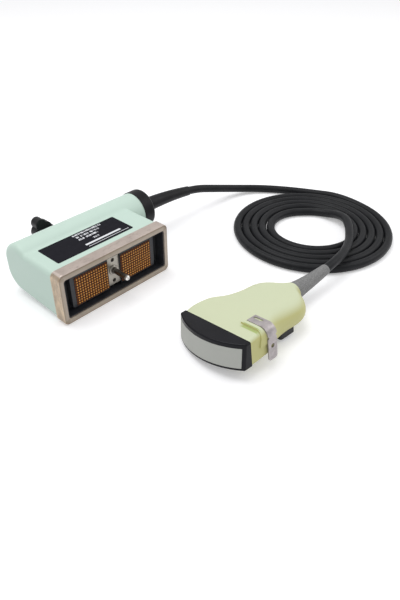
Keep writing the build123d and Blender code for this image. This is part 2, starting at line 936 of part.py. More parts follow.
def half_shell(keep):
    # The body's wall on one side of its seam, with the hole for the cable's grommet
    with BuildPart() as shell:
        add(body_form.part)
        add(body_loft(body_hollow_steps, body_wall), mode=Mode.SUBTRACT)
        with BuildSketch(across_probe(relief_end)):
            with Locations((0, handle_relief_z)):
                Circle(handle_grommet_radius)
        extrude(
            amount=-(handle_relief_length + handle_grommet_length + overrun), mode=Mode.SUBTRACT
        )
        split(bisect_by=level_probe(middle_rise), keep=keep)
    return shell


save(half_shell(Keep.TOP), "probe_shell_upper")

# The lower shell carries four posts for the board inside
with BuildPart() as probe_shell_lower:
    add(half_shell(Keep.BOTTOM).part)
    with BuildSketch(level_probe(0)):
        with Locations((post_place, 0)):
            with GridLocations(post_spacing, post_spread, 2, 2):
                Circle(post_radius)
    extrude(amount=flex_rise)
save(probe_shell_lower, "probe_shell_lower")


# Nose: the arc of the curved array, through the ends of its two straight cheeks
nose_sagitta = nose_reach - nose_cheek
nose_radius = (body_half_width**2 + nose_sagitta**2) / (2 * nose_sagitta)
nose_centre = nose_radius - nose_reach


def arc_band(outer_radius, inner_radius, half_chord):
    # Band between two arcs about the nose's centre, with ends parallel to the probe's length
    outer_edge = nose_centre - math.sqrt(outer_radius**2 - half_chord**2)
    inner_edge = nose_centre - math.sqrt(inner_radius**2 - half_chord**2)
    with BuildLine() as band:
        ThreePointArc(
            (outer_edge, half_chord), (nose_centre - outer_radius, 0), (outer_edge, -half_chord)
        )
        Line((outer_edge, -half_chord), (inner_edge, -half_chord))
        ThreePointArc(
            (inner_edge, -half_chord), (nose_centre - inner_radius, 0), (inner_edge, half_chord)
        )
        Line((inner_edge, half_chord), (outer_edge, half_chord))
    return band.line


def nose_level(rise):
    # Level of the nose, moved back by the lean of its face
    return Plane(
        origin=probe_plane.from_local_coords((rise * lean_slope, 0, rise)),
        x_dir=probe_plane.x_dir,
        z_dir=probe_plane.z_dir,
    )


def leans_with_nose(edge):
    # Whether an edge runs up the nose's leaning face
    return abs((edge @ 1 - edge @ 0).normalized().dot(nose_up)) > 1 - straight_share


lens_inner = nose_radius - lens_thickness
array_inner = lens_inner - array_thickness
with BuildPart() as nosepiece:
    with BuildSketch(level_probe(0)):
        with BuildLine():
            Polyline(
                (-nose_cheek, body_half_width),
                (0, body_half_width),
                (0, -body_half_width),
                (-nose_cheek, -body_half_width),
            )
            ThreePointArc(
                (-nose_cheek, -body_half_width), (-nose_reach, 0), (-nose_cheek, body_half_width)
            )
        make_face()
    extrude(amount=body_height / lean_share, dir=nose_up)
    split(bisect_by=across_probe(0), keep=Keep.BOTTOM)
    fillet(nosepiece.edges().filter_by(leans_with_nose), nose_corner)
    long_edges = nosepiece.faces().filter_by(probe_up).edges()
    fillet(
        long_edges.filter_by(lambda edge: probe_plane.to_local_coords(edge.center()).X < -fit_gap),
        nose_round,
    )
    with BuildSketch(nose_level(lens_frame_low)):
        with BuildLine():
            add(arc_band(nose_radius + overrun, lens_inner, lens_half_chord))
        make_face()
    extrude(amount=lens_height / lean_share, dir=nose_up, mode=Mode.SUBTRACT)
    with BuildSketch(level_probe(array_rise)):
        with Locations((-nose_reach / 2, 0)):
            Rectangle(nose_reach + overrun, 2 * array_half_chord)
    extrude(amount=array_height, mode=Mode.SUBTRACT)
save(nosepiece, "nosepiece")


with BuildPart() as acoustic_lens:
    with BuildSketch(nose_level(lens_frame_low)):
        with BuildLine():
            add(arc_band(nose_radius + lens_proud, lens_inner, lens_half_chord))
        make_face()
    extrude(amount=lens_height / lean_share, dir=nose_up)
save(acoustic_lens, "acoustic_lens")


with BuildPart() as transducer_array:
    with BuildSketch(nose_level(array_rise)):
        with BuildLine():
            add(arc_band(lens_inner, array_inner, array_half_chord))
        make_face()
    extrude(amount=array_height / lean_share, dir=nose_up)
save(transducer_array, "transducer_array")


# Board behind the array, on the posts; its front corners stand just off the array's curved back
array_back = nose_centre - math.sqrt(array_inner**2 - (flex_width / 2) ** 2)
flex_front = array_back + (flex_rise + flex_thickness) * lean_slope + fit_gap
with BuildPart() as array_flex:
    with BuildSketch(level_probe(flex_rise)):
        with Locations((flex_front + flex_length / 2, 0)):
            Rectangle(flex_length, flex_width)
    extrude(amount=flex_thickness)
save(array_flex, "array_flex")


with BuildPart() as handle_grommet:
    with BuildSketch(across_probe(body_length - handle_grommet_length)):
        with Locations((0, handle_relief_z)):
            Circle(handle_grommet_radius)
    extrude(amount=handle_grommet_length)
save(handle_grommet, "handle_grommet")


# Grey strain relief behind the handle, flared at its root and bending up a little towards its tip
with BuildPart() as probe_strain_relief:
    for step in range(handle_relief_steps + 1):
        share = step / handle_relief_steps
        taper = handle_relief_base + (handle_relief_tip - handle_relief_base) * share
        with BuildSketch(
            Plane(
                origin=probe_plane.from_local_coords(
                    (
                        body_length + handle_relief_length * share,
                        0,
                        handle_relief_z + handle_relief_rise * share**2,
                    )
                ),
                x_dir=probe_plane.y_dir,
                z_dir=probe_plane.x_dir * handle_relief_length
                + probe_plane.z_dir * (2 * handle_relief_rise * share),
            )
        ):
            Circle(taper + handle_relief_flare * (1 - share) ** 4)
    loft()
save(probe_strain_relief, "probe_strain_relief")


# Guide bracket: a strip of sheet over the seat, bent down the probe's near side
bracket_middle = bracket_front + bracket_width / 2
with BuildPart() as guide_bracket:
    with BuildSketch(across_probe(bracket_front)):
        with BuildLine() as bend:
            FilletPolyline(
                (-bracket_inner, seat_top),
                (-seat_side, seat_top),
                (-seat_side, seat_top - bracket_leg),
                radius=bracket_bend,
            )
            offset(amount=bracket_thickness, side=Side.RIGHT)
        make_face()
    extrude(amount=bracket_width)
    with BuildSketch(level_probe(seat_top - overrun)):
        with Locations((bracket_middle, -(bracket_inner + bracket_slot_offset))):
            SlotOverall(bracket_slot_length, bracket_slot_width)
    extrude(amount=2 * overrun, mode=Mode.SUBTRACT)
    with BuildSketch(along_probe(seat_side - overrun)):
        with Locations((bracket_middle, seat_top - bracket_hole_drop)):
            Circle(bracket_hole_radius)
        with Locations(
            (bracket_front, seat_top - bracket_notch_drop),
            (bracket_front + bracket_width, seat_top - bracket_notch_drop),
        ):
            Circle(bracket_notch)
    extrude(amount=2 * overrun, mode=Mode.SUBTRACT)
    foot_edges = guide_bracket.edges().filter_by(probe_far).sort_by(probe_up)
    fillet(foot_edges[:2], bracket_foot_round)
save(guide_bracket, "guide_bracket")


# Black foot under the handle, shaped on top to the body's underside
with BuildPart() as underside_foot:
    with BuildSketch(level_probe(-foot_drop)):
        with Locations(
            (foot_start + foot_length / 2, foot_margin + foot_width / 2 - body_half_width)
        ):
            RectangleRounded(foot_length, foot_width, foot_round)
    extrude(amount=foot_drop + middle_rise / 2)
    add(body_form.part, mode=Mode.SUBTRACT)
save(underside_foot, "underside_foot")
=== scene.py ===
import bmesh
import bpy
import json
import math
from mathutils import Matrix, Vector


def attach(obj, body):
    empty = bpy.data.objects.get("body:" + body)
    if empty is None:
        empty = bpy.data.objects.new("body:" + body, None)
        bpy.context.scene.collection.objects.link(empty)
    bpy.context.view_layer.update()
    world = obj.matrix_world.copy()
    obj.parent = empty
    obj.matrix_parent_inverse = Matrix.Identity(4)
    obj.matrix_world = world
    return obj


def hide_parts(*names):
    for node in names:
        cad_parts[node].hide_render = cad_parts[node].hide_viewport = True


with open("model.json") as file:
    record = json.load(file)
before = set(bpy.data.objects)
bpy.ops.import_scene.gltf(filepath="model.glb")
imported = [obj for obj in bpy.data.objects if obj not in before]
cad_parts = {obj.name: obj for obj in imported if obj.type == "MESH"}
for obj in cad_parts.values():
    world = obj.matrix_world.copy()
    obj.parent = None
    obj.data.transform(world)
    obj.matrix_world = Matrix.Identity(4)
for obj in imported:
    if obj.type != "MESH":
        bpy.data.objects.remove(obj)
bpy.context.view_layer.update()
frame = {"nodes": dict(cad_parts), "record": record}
scene = bpy.context.scene
millimetre = 0.001
print("frame loaded:", len(frame["nodes"]), "nodes")


# Camera where the photo was taken from, looking down on the table
photoCamera = {
    "place": (-256.2, -336.3, 298.9),  # mm, in the connector's frame
    "yaw": -47.34,  # degrees, from looking along +Y
    "pitch": 36.34,  # degrees down
    "lens": 34.65,  # mm
    "nearest": 10,  # mm, nothing closer is drawn
}


def addCamera(values):
    camera = bpy.data.objects.new("photoCamera", bpy.data.cameras.new("photoCamera"))
    scene.collection.objects.link(camera)
    camera.location = Vector(values["place"]) * millimetre
    camera.rotation_euler = (math.radians(90 - values["pitch"]), 0, math.radians(values["yaw"]))
    camera.data.lens = values["lens"]
    camera.data.clip_start = values["nearest"] * millimetre
    scene.camera = camera


addCamera(photoCamera)


# Where the handle lies: its own frame starts at the middle of its nose end, on its flat side
handleLie = {
    "place": (0.5, -119.1, 4.95),  # mm, in the connector's frame
    "turn": -4.3,  # degrees, about the upright
    "lean": -8.2,  # degrees, about the handle's length
}
handleTurn = Matrix.Rotation(math.radians(handleLie["turn"]), 4, "Z")
handleTurn = handleTurn @ Matrix.Rotation(math.radians(handleLie["lean"]), 4, "X")
handleFrame = Matrix.Translation(handleLie["place"]) @ handleTurn


# Node helpers shared by all the finishes
def paint(red, green, blue):
    # A colour as seen in the photo (0 to 255), turned into the linear values that the shader takes
    def linear(level):
        level = level / 255
        return level / 12.92 if level <= 0.04045 else ((level + 0.055) / 1.055) ** 2.4
    return (linear(red), linear(green), linear(blue), 1)


class Finish:
    # A small hand for wiring one material
    def __init__(self, name, **shader):
        self.material = bpy.data.materials.new(name)
        self.material.use_nodes = True
        self.tree = self.material.node_tree
        self.shader = self.tree.nodes["Principled BSDF"]
        self.bumpChain = None
        for socket, value in shader.items():
            self.shader.inputs[socket.replace("_", " ")].default_value = value

    def node(self, kind, **settings):
        made = self.tree.nodes.new(kind)
        for key, value in settings.items():
            setattr(made, key, value)
        return made

    def link(self, source, target):
        self.tree.links.new(source, target)

    def place(self):
        if not hasattr(self, "geometry"):
            self.geometry = self.node("ShaderNodeNewGeometry")
        return self.geometry.outputs["Position"]

    def noise(self, scale, detail=4, roughness=0.55, stretch=None):
        # Noise in the part's own metres, stretched where the grain runs one way
        source = self.place()
        if stretch:
            mapping = self.node("ShaderNodeMapping")
            mapping.inputs["Scale"].default_value = stretch
            self.link(source, mapping.inputs["Vector"])
            source = mapping.outputs["Vector"]
        texture = self.node("ShaderNodeTexNoise")
        texture.inputs["Scale"].default_value = scale
        texture.inputs["Detail"].default_value = detail
        texture.inputs["Roughness"].default_value = roughness
        self.link(source, texture.inputs["Vector"])
        return texture.outputs["Fac"]

    def speckle(self, scale, randomness=1.0):
        texture = self.node("ShaderNodeTexVoronoi")
        texture.inputs["Scale"].default_value = scale
        texture.inputs["Randomness"].default_value = randomness
        self.link(self.place(), texture.inputs["Vector"])
        return texture.outputs["Distance"]

    def ramp(self, source, *stops):
        # Stops are (place, colour) or (place, level)
        made = self.node("ShaderNodeValToRGB")
        elements = made.color_ramp.elements
        for index, (where, colour) in enumerate(stops):
            element = elements[index] if index < 2 else elements.new(where)
            element.position = where
            element.color = colour if isinstance(colour, tuple) else (colour, colour, colour, 1)
        self.link(source, made.inputs["Fac"])
        return made.outputs["Color"]

    def mix(self, factor, first, second, blend="MIX"):
        made = self.node("ShaderNodeMix", data_type="RGBA", blend_type=blend)
        for socket, value in ((0, factor), (6, first), (7, second)):
            if hasattr(value, "links"):
                self.link(value, made.inputs[socket])
            else:
                made.inputs[socket].default_value = value
        return made.outputs[2]

    def math(self, operation, first, second=0.0, clamp=False):
        made = self.node("ShaderNodeMath", operation=operation, use_clamp=clamp)
        for socket, value in ((0, first), (1, second)):
            if hasattr(value, "links"):
                self.link(value, made.inputs[socket])
            else:
                made.inputs[socket].default_value = value
        return made.outputs[0]

    def coordinate(self, axis):
        if not hasattr(self, "split"):
            self.split = self.node("ShaderNodeSeparateXYZ")
            self.link(self.place(), self.split.inputs[0])
        return self.split.outputs["XYZ".index(axis)]

    def band(self, axis, middle, half):
        # 1 within this many millimetres of a middle along one axis
        offset = self.math("SUBTRACT", self.coordinate(axis), middle * millimetre)
        return self.math("LESS_THAN", self.math("ABSOLUTE", offset), half * millimetre)

    def alongHandle(self, way):
        # Millimetres from the start of the handle's own frame, along its X, Y or Z
        direction = handleTurn.col["XYZ".index(way)].to_3d()
        start = direction.dot(Vector(handleLie["place"]))
        dot = self.node("ShaderNodeVectorMath", operation="DOT_PRODUCT")
        self.link(self.place(), dot.inputs[0])
        dot.inputs[1].default_value = direction
        return self.math("SUBTRACT", self.math("DIVIDE", dot.outputs["Value"], millimetre), start)

    def edges(self, low, high):
        # 0 on flats and in hollows, rising to 1 on sharp outer edges
        self.place()
        return self.ramp(self.geometry.outputs["Pointiness"], (low, 0.0), (high, 1.0))

    def colour(self, source):
        self.link(source, self.shader.inputs["Base Color"])

    def rough(self, source, low, high):
        spread = self.node("ShaderNodeMapRange")
        spread.inputs["To Min"].default_value = low
        spread.inputs["To Max"].default_value = high
        self.link(source, spread.inputs["Value"])
        self.link(spread.outputs["Result"], self.shader.inputs["Roughness"])

    def bump(self, source, depth):
        made = self.node("ShaderNodeBump")
        made.inputs["Distance"].default_value = depth
        self.link(source, made.inputs["Height"])
        if self.bumpChain:
            self.link(self.bumpChain, made.inputs["Normal"])
        self.bumpChain = made.outputs["Normal"]
        self.link(self.bumpChain, self.shader.inputs["Normal"])

    def skin(self, look):
        # Uneven gloss and a fine grain; each noise is a scale and a detail
        self.rough(self.noise(*look["glossNoise"]), *look["gloss"])
        self.bump(self.noise(*look["grainNoise"]), look["grainDepth"])


# In each look, colours are 0 to 255, gloss is a roughness from and to, and grainDepth is in metres
mintLook = {
    "body": (196, 218, 206),
    "bodyShare": 0.55,
    "faded": (203, 222, 212),
    "shadeTone": (187, 210, 199),
    "scuff": (176, 196, 186),
    "scuffShare": 0.1,
    "glossNoise": (60, 5),
    "gloss": (0.34, 0.52),
    "grainNoise": (900, 2),
    "grainDepth": 0.00006,
}


def mintPlastic(look):
    finish = Finish("mintPlastic", IOR=1.46)
    tone = finish.mix(finish.noise(9, 3), paint(*look["shadeTone"]), paint(*look["faded"]))
    tone = finish.mix(look["bodyShare"], tone, paint(*look["body"]))
    scuff = finish.ramp(finish.noise(160, 6, 0.7), (0.66, 0.0), (0.74, 1.0))
    faint = finish.math("MULTIPLY", scuff, look["scuffShare"])
    finish.colour(finish.mix(faint, tone, paint(*look["scuff"])))
    finish.skin(look)
    return finish.material


shroudLook = {
    "plate": (198, 184, 175),
    "dull": (180, 166, 158),
    "tan": (206, 184, 156),
    "tanDull": (172, 152, 130),
    "sideBand": -57.2,  # mm along X, the tan band on the left side starts here
    "baseBand": 5.6,  # mm above the table, the tan band along the base ends here
    "rim": (142, 128, 112),
    "rimShare": 0.9,
    "rimFace": -5.1,  # mm along Y, the front face before this is painted darker as shade
    "stain": (116, 103, 94),
    "stainShare": 0.5,
    "bright": (232, 224, 214),
    "wearAndHighlightShare": 0.22,
    "glossNoise": (90, 6),
    "gloss": (0.26, 0.52),
    "grainNoise": (420, 5),
    "grainDepth": 0.00005,
}


def tarnishedShroud(look):
    finish = Finish("tarnishedShroud", Metallic=0.55)
    cloud = finish.ramp(finish.noise(34, 7, 0.62), (0.38, 0.0), (0.62, 1.0))
    tone = finish.mix(cloud, paint(*look["plate"]), paint(*look["dull"]))
    leftSide = finish.math("LESS_THAN", finish.coordinate("X"), look["sideBand"] * millimetre)
    base = finish.math("LESS_THAN", finish.coordinate("Z"), look["baseBand"] * millimetre)
    mottle = finish.ramp(finish.noise(150, 8, 0.72, (1, 1, 0.4)), (0.42, 0.0), (0.58, 1.0))
    tanned = finish.mix(mottle, paint(*look["tan"]), paint(*look["tanDull"]))
    tone = finish.mix(finish.math("MAXIMUM", leftSide, base), tone, tanned)
    # Painted shade: the front face is darkened as if less light falls on it
    rim = finish.math("LESS_THAN", finish.coordinate("Y"), look["rimFace"] * millimetre)
    tone = finish.mix(finish.math("MULTIPLY", rim, look["rimShare"]), tone, paint(*look["rim"]))
    stains = finish.ramp(finish.noise(230, 7, 0.75, (0.4, 1, 1)), (0.53, 0.0), (0.66, 1.0))
    tone = finish.mix(finish.math("MULTIPLY", stains, look["stainShare"]), tone, paint(*look["stain"]))
    # Sharp edges painted lighter: partly real wear, partly painted highlight
    wornAndHighlit = finish.math("MULTIPLY", finish.edges(0.52, 0.58), look["wearAndHighlightShare"])
    finish.colour(finish.mix(wornAndHighlit, tone, paint(*look["bright"])))
    finish.skin(look)
    return finish.material


contactLook = {
    "pitch": 2.54,  # mm
    "wallShare": 0.13,  # half a wall, as a share of the pitch
    "firstColumn": 8.03,  # mm from the middle to the inner edge of the grid
    "middleRow": 23.3,  # mm above the table
    "faceDepth": -0.5,  # mm, the blocks' front face along Y
    "faceMargin": 0.1,  # mm, what stands further out is a tip
    "amber": (146, 76, 16),
    "amberDeep": (116, 58, 10),
    "grid": (44, 25, 12),
    "tip": (228, 164, 84),
    "wallRise": 0.2,  # mm
}


def amberBlock(look):
    # Amber cells in a dark grid; what stands in front of the block's face is a pale gold tip
    finish = Finish("amberBlock", Roughness=0.4, Specular_IOR_Level=0.2)
    pitch = look["pitch"] * millimetre
    fromMiddle = finish.math("ABSOLUTE", finish.coordinate("X"))
    across = finish.math("SUBTRACT", fromMiddle, look["firstColumn"] * millimetre)
    up = finish.math("SUBTRACT", finish.coordinate("Z"), look["middleRow"] * millimetre)
    walls = []
    for place in (across, up):
        cell = finish.math("PINGPONG", place, pitch / 2)
        walls.append(finish.math("LESS_THAN", cell, pitch * look["wallShare"]))
    grid = finish.math("MAXIMUM", *walls)
    amber = finish.mix(finish.noise(500, 4), paint(*look["amberDeep"]), paint(*look["amber"]))
    tone = finish.mix(grid, amber, paint(*look["grid"]))
    tipStart = (look["faceDepth"] - look["faceMargin"]) * millimetre
    inFront = finish.math("LESS_THAN", finish.coordinate("Y"), tipStart)
    finish.colour(finish.mix(inFront, tone, paint(*look["tip"])))
    finish.bump(grid, look["wallRise"] * millimetre)
    return finish.material


boardLook = {"laminate": (28, 84, 48), "track": (44, 110, 66), "trackScale": 300, "unevenness": 0.2}


def circuitBoard(look):
    finish = Finish("circuitBoard", Roughness=0.4)
    track = finish.speckle(look["trackScale"], look["unevenness"])
    finish.colour(finish.ramp(track, (0.3, paint(*look["laminate"])), (0.5, paint(*look["track"]))))
    return finish.material


metalLooks = {
    "lockSteel": {"base": (190, 186, 178), "dark": (150, 145, 136), "roughness": 0.34},
    "screwSteel": {"base": (58, 54, 50), "dark": (30, 28, 26), "roughness": 0.4},
    "bushBrass": {"base": (206, 176, 110), "dark": (168, 138, 78), "roughness": 0.3},
    "clampMetal": {"base": (196, 196, 198), "dark": (160, 160, 162), "roughness": 0.34},
}
metalSmoother = 0.08  # how far the streaks' roughness falls below a look's own
metalRougher = 0.14  # and how far it rises above
metalGrainDepth = 0.00003


def machinedMetal(name):
    look = metalLooks[name]
    finish = Finish(name, Metallic=0.9)
    streak = finish.noise(260, 5, 0.6, (1, 1, 12))
    finish.colour(finish.mix(streak, paint(*look["dark"]), paint(*look["base"])))
    finish.rough(streak, look["roughness"] - metalSmoother, look["roughness"] + metalRougher)
    finish.bump(streak, metalGrainDepth)
    return finish.material


spindleLook = {
    "shank": (96, 92, 88),
    "shankLight": (150, 145, 138),
    "paintedTipHighlight": (240, 238, 234),
    "paintedTipHighlightStart": -15.7,  # mm along Y
    "gloss": (0.2, 0.38),
}


def spindleSteel(look):
    # Dark turned shank; its dome tip is painted near-white as a highlight
    finish = Finish("spindleSteel", Metallic=0.95)
    rings = finish.noise(500, 3, 0.5, (0.2, 6, 0.2))
    shank = finish.mix(rings, paint(*look["shank"]), paint(*look["shankLight"]))
    # Painted highlight: the tip beyond this point takes a near-white colour
    paintedTipHighlight = finish.math("LESS_THAN", finish.coordinate("Y"), look["paintedTipHighlightStart"] * millimetre)
    finish.colour(finish.mix(paintedTipHighlight, shank, paint(*look["paintedTipHighlight"])))
    finish.rough(rings, *look["gloss"])
    return finish.material


plasticGrain = {
    "specular": 0.5,
    "toneNoise": (70, 5),
    "glossNoise": (120, 5),
    "grainNoise": (900, 3),
    "grainDepth": 0.00005,
}
rubberGrain = {"gloss": (0.5, 0.7), "grainNoise": (1200, 3), "grainDepth": 0.00006}
plainLooks = {
    "blackInsert": {
        "tones": ((34, 36, 40), (50, 52, 58)),
        "toneNoise": (220, 4),
        "glossNoise": (150, 4),
        "gloss": (0.34, 0.52),
        "grainNoise": (1500, 2),
        "grainDepth": 0.00004,
    },
    "knobPlastic": {"tones": ((14, 14, 16), (26, 26, 29)), "gloss": (0.3, 0.46), "specular": 0.35},
    "collarPlastic": {"tones": ((13, 13, 15), (24, 24, 27)), "gloss": (0.34, 0.5), "specular": 0.22},
    "reliefRubber": {"tones": ((15, 15, 17), (28, 28, 31)), "gloss": (0.4, 0.56), "specular": 0.25},
    "nosePlastic": {
        "tones": ((20, 20, 24), (28, 28, 33)),
        "gloss": (0.2, 0.3),
        "specular": 0.16,
        "grainNoise": (500, 3),
        "grainDepth": 0.00001,
    },
    "cableJacket": {
        "tones": ((20, 21, 24), (33, 34, 37)),
        "toneNoise": (60, 5),
        "glossNoise": (90, 5),
        "gloss": (0.36, 0.52),
        "specular": 0.2,
        "grainNoise": (1400, 3),
    },
    "arrayCeramic": {"tones": ((96, 92, 86), (128, 122, 114)), **rubberGrain},
    "grommetRubber": {"tones": ((40, 40, 40), (56, 56, 56)), **rubberGrain},
    "footRubber": {"tones": ((20, 20, 22), (34, 34, 36)), **rubberGrain},
}


def plainMaterial(name):
    # One colour that wanders between two tones
    look = {**plasticGrain, **plainLooks[name]}
    finish = Finish(name, Specular_IOR_Level=look["specular"])
    darker, lighter = look["tones"]
    wander = finish.noise(*look["toneNoise"])
    finish.colour(finish.ramp(wander, (0.3, paint(*darker)), (0.75, paint(*lighter))))
    finish.skin(look)
    return finish.material


labelLook = {
    "plate": (15, 15, 22),
    "plateLight": (27, 26, 35),
    "print": (222, 224, 228),
    "blockScale": 1300,
    # mm: middle along Y, from and to along X, half the height; plain blocks stand for its print
    "rows": (
        (39.7, -11.2, 19.3, 1.2),
        (35.4, -11.0, 14.0, 1.2),
        (31.0, -11.3, 9.5, 1.2),
        (25.6, -0.3, 6.7, 1.2),
    ),
    "bars": ((20.2, -11.8, 26.5, 1.2), (16.4, -11.5, 32.8, 0.3)),
    "glossNoise": (140, 4),
    "gloss": (0.5, 0.7),
    "grainNoise": (900, 3),
    "grainDepth": 0.00003,
}


def strip(finish, middle, start, end, half):
    lengthwise = finish.band("X", (start + end) / 2, (end - start) / 2)
    return finish.math("MULTIPLY", finish.band("Y", middle, half), lengthwise)


def printedPlate(look):
    finish = Finish("plateCharcoal", Specular_IOR_Level=0.1)
    grain = finish.noise(look["blockScale"], 1, 0.5, (1, 0.08, 0.08))
    blocks = finish.ramp(grain, (0.47, 0.0), (0.5, 1.0))
    printed = 0.0
    for row in look["rows"]:
        broken = finish.math("MULTIPLY", strip(finish, *row), blocks)
        printed = finish.math("MAXIMUM", printed, broken)
    for bar in look["bars"]:
        printed = finish.math("MAXIMUM", printed, strip(finish, *bar))
    plate = finish.mix(finish.noise(300, 4), paint(*look["plate"]), paint(*look["plateLight"]))
    finish.colour(finish.mix(printed, plate, paint(*look["print"])))
    finish.skin(look)
    return finish.material


handleLook = {
    "body": (208, 213, 180),
    "greener": (203, 212, 178),
    "paintedSideWarmth": (197, 195, 132),
    "turned": (0.5, 0.97),  # how far up the surface faces, from full painted warm light to none
    "dip": {"X": (10.6, 2.3), "Y": (-25.5, 9.5)},  # mm in the handle's frame: middle and half
    "dipPaintedShade": (166, 182, 108),
    "dipPaintedShadeShare": 0.9,
    "glossNoise": (60, 5),
    "gloss": (0.38, 0.56),
    "grainNoise": (1100, 2),
    "grainDepth": 0.00004,
}


def handlePlastic(look):
    # Painted warm light where it turns down to the sides, painted shade in the dip before the bracket
    finish = Finish("probePlastic", IOR=1.46)
    tone = finish.mix(finish.noise(14, 3), paint(*look["greener"]), paint(*look["body"]))
    # Painted warm light: faces that turn down to the sides take a yellower colour
    facing = finish.node("ShaderNodeSeparateXYZ")
    finish.link(finish.geometry.outputs["Normal"], facing.inputs[0])
    side, top = look["turned"]
    paintedWarmthMask = finish.ramp(facing.outputs["Z"], (side, 1.0), (top, 0.0))
    tone = finish.mix(paintedWarmthMask, tone, paint(*look["paintedSideWarmth"]))
    # Painted shade: up-facing surfaces in the dip before the bracket take a darker green
    reaches = []
    for way, (middle, half) in look["dip"].items():
        offset = finish.math("SUBTRACT", finish.alongHandle(way), middle)
        reaches.append(finish.math("DIVIDE", finish.math("ABSOLUTE", offset), half))
    dip = finish.ramp(finish.math("MAXIMUM", *reaches), (0.7, 1.0), (1.0, 0.0))
    dip = finish.math("MULTIPLY", dip, finish.math("GREATER_THAN", facing.outputs["Z"], 0.4))
    dip = finish.math("MULTIPLY", dip, look["dipPaintedShadeShare"])
    finish.colour(finish.mix(dip, tone, paint(*look["dipPaintedShade"])))
    finish.skin(look)
    return finish.material


lensLook = {
    "tone": (172, 174, 168),
    "lighter": (184, 186, 180),
    "speck": (120, 122, 120),
    "speckShare": 0.25,
    "glossNoise": (80, 4),
    "gloss": (0.5, 0.7),
    "grainNoise": (1300, 3),
    "grainDepth": 0.00004,
}


def lensRubber(look):
    finish = Finish("lensRubber")
    tone = finish.mix(finish.noise(18, 3), paint(*look["tone"]), paint(*look["lighter"]))
    specks = finish.ramp(finish.noise(1600, 2, 0.8), (0.66, 0.0), (0.72, 1.0))
    faint = finish.math("MULTIPLY", specks, look["speckShare"])
    finish.colour(finish.mix(faint, tone, paint(*look["speck"])))
    finish.skin(look)
    return finish.material


greyReliefLook = {
    "tone": (104, 104, 104),
    "lighter": (152, 152, 152),
    "grainScale": 1500,
    "grainDepth": 0.00018,
    "gloss": (0.5, 0.75),
}


def greyRelief(look):
    finish = Finish("greyRelief")
    grain = finish.ramp(finish.noise(look["grainScale"], 4, 0.75), (0.38, 0.0), (0.62, 1.0))
    finish.colour(finish.mix(grain, paint(*look["tone"]), paint(*look["lighter"])))
    finish.rough(grain, *look["gloss"])
    finish.bump(grain, look["grainDepth"])
    return finish.material


sheetLook = {
    "dull": (150, 144, 146),
    "pale": (198, 190, 190),
    "glossNoise": (300, 5),
    "gloss": (0.22, 0.5),
    "grainNoise": (500, 5),
    "grainDepth": 0.00008,
}


def bracketSheet(look):
    finish = Finish("bracketSheet", Metallic=0.45)
    cloud = finish.noise(120, 6, 0.7)
    finish.colour(finish.ramp(cloud, (0.3, paint(*look["dull"])), (0.7, paint(*look["pale"]))))
    finish.skin(look)
    return finish.material


finishes = {
    "tarnished_shroud": tarnishedShroud(shroudLook),
    "black_insert": plainMaterial("blackInsert"),
    "amber_block": amberBlock(contactLook),
    "circuit_board": circuitBoard(boardLook),
    "lock_steel": machinedMetal("lockSteel"),
    "spindle_steel": spindleSteel(spindleLook),
    "screw_steel": machinedMetal("screwSteel"),
    "mint_housing": mintPlastic(mintLook),
    "bush_brass": machinedMetal("bushBrass"),
    "knob_plastic": plainMaterial("knobPlastic"),
    "collar_plastic": plainMaterial("collarPlastic"),
    "relief_rubber": plainMaterial("reliefRubber"),
    "clamp_metal": machinedMetal("clampMetal"),
    "plate_charcoal": printedPlate(labelLook),
    "cable_jacket": plainMaterial("cableJacket"),
    "probe_plastic": handlePlastic(handleLook),
    "nose_plastic": plainMaterial("nosePlastic"),
    "lens_rubber": lensRubber(lensLook),
    "array_ceramic": plainMaterial("arrayCeramic"),
    "grommet_rubber": plainMaterial("grommetRubber"),
    "grey_relief": greyRelief(greyReliefLook),
    "bracket_sheet": bracketSheet(sheetLook),
    "foot_rubber": plainMaterial("footRubber"),
}
for subpart in frame["record"]["subparts"]:
    meshData = frame["nodes"][subpart["node"]].data
    meshData.materials.clear()
    meshData.materials.append(finishes[subpart["material_slot"]])
print("finishes made:", len(finishes))


# The cable: one smooth line from the connector's strain relief, round the coil and to the probe
cableRoute = {
    "diameter": 8.4,  # mm
    "coilMiddle": (207.8, -63.5),
    "coilRadius": 79.8,
    "coilPitch": 8.53,
    "coilAngle": -47.34,  # degrees, where the outer turn is counted from
    "firstTurn": -0.12,
    "lastTurn": 4.75,
    "pointsPerTurn": 16,
    "swellShare": 0.5,  # the line passes inside its points, so they move out by half of that
    "tuck": 3.0,  # mm, how far the last part of the coil draws in
    "tuckTurn": 4.35,
    "smoothness": 6,
}
leadPoints = [
    (151.7, 57.5, 26.9),
    (166.5, 57.5, 24.4),
    (188, 53.8, 18.2),
    (209, 51.7, 11.6),
    (229, 45.5, 6.6),
    (245, 34.5, 4.6),
    (258, 18.5, 4.2),
    (270, -1.5, 4.2),
    (281, -23.5, 4.2),
    (290, -42.3, 4.2),
]
tailPoints = [  # angle round the coil's middle, distance from it, height
    (24.4, 38.2, 4.2),
    (4, 38.2, 5.6),
    (-18, 37.6, 10.0),
    (-41, 37.0, 13.2),
    (-63, 38.0, 13.8),
    (-83, 42.5, 13.8),
    (-98.5, 50.0, 13.8),
    (-111.5, 60.0, 14.6),
    (-122, 72.0, 17.0),
]
probeEnd = [(148.7, -128.2, 18.9), (134.9, -127.4, 17.3)]


def roundCoil(values, radius, degrees, height):
    angle = math.radians(degrees)
    middle = values["coilMiddle"]
    return (middle[0] + radius * math.cos(angle), middle[1] + radius * math.sin(angle), height)


